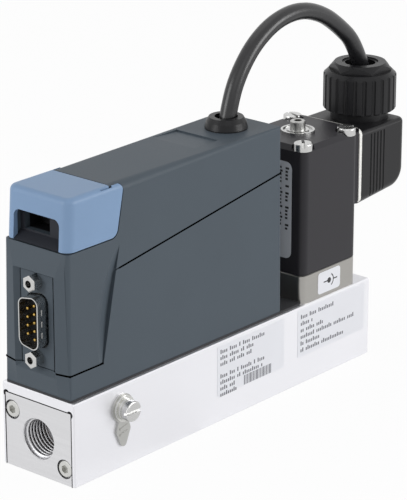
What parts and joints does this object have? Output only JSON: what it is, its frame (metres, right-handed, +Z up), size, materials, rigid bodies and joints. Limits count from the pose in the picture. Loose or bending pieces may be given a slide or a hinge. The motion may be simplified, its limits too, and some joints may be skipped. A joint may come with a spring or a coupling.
{
  "type": "mass flow controller",
  "caption": "Inline gas flow controller: metal base block with threaded ports, plastic electronics hood with plug connector, and a cabled solenoid control valve.",
  "frame": {"origin": "middle of the underside of the base block", "axes": "+X along the gas flow, from the inlet port to the outlet port; -Y the side with the earth terminal; +Z up"},
  "size_m": [0.1773, 0.0364, 0.1276],
  "materials": {
    "anodised_aluminium": "fine silver anodised",
    "plate_steel": "machined",
    "valve_steel": "brushed stainless",
    "screw_steel": "bright zinc",
    "nickel": "nickel plated",
    "tag_metal": "tinned",
    "hood_plastic": "fine matt grain",
    "cap_plastic": "satin",
    "gasket_rubber": "matt",
    "seal_rubber": "matt",
    "board_green": "solder mask",
    "insulator_black": "satin",
    "pin_gold": "gold plated",
    "sensor_steel": "machined",
    "filter_bronze": "sintered",
    "coil_plastic": "moulded",
    "plug_plastic": "satin moulded",
    "plug_seal_white": "soft",
    "winding_copper": "enamelled wire",
    "core_steel": "ground",
    "cable_jacket": "satin"
  },
  "bodies": {
    "controller": {"base_block": "anodised_aluminium", "base_gasket": "gasket_rubber", "board_screws": "screw_steel", "cable": "cable_jacket", "cable_entry": "plug_plastic", "card_socket": "insulator_black", "coil_housing": "coil_plastic", "coil_screws": "nickel", "coil_seal": "seal_rubber", "coil_terminals": "nickel", "coil_washer": "nickel", "coil_winding": "winding_copper", "connector_board": "board_green", "dsub_insulator": "insulator_black", "dsub_pins": "pin_gold", "dsub_shell": "nickel", "earth_screw": "nickel", "earth_spring_washer": "screw_steel", "earth_tag": "tag_metal", "earth_washer": "screw_steel", "entry_locknut": "plug_plastic", "fixed_core": "core_steel", "flow_element": "sensor_steel", "front_cap": "cap_plastic", "gland_nut": "plug_plastic", "gland_seal": "seal_rubber", "guide_tube": "core_steel", "inlet_filter": "filter_bronze", "inlet_plate_screws": "screw_steel", "inlet_plate_seal": "seal_rubber", "inlet_port_plate": "plate_steel", "jackscrews": "nickel", "lower_shell": "hood_plastic", "main_board": "board_green", "outlet_plate_screws": "screw_steel", "outlet_plate_seal": "seal_rubber", "outlet_port_plate": "plate_steel", "plug_gasket": "plug_seal_white", "plug_housing": "plug_plastic", "plug_insert": "insulator_black", "plug_screw": "nickel", "return_spring": "screw_steel", "sensor_module": "sensor_steel", "sensor_screws": "screw_steel", "sensor_seals": "seal_rubber", "shell_screws": "screw_steel", "upper_hood": "hood_plastic", "valve_body": "valve_steel", "valve_seals": "seal_rubber", "valve_seat": "core_steel"},
    "plunger": {"valve_plunger": "core_steel", "plunger_seal": "seal_rubber"}
  },
  "joints": [
    {"name": "plunger_lift", "type": "slide", "parent": "controller", "child": "plunger", "axis": [0, 0, 1], "range_m": [0, 0.001], "stiffness_N_per_m": 400, "springref_m": -0.004, "deforming": ["return_spring"]}
  ]
}
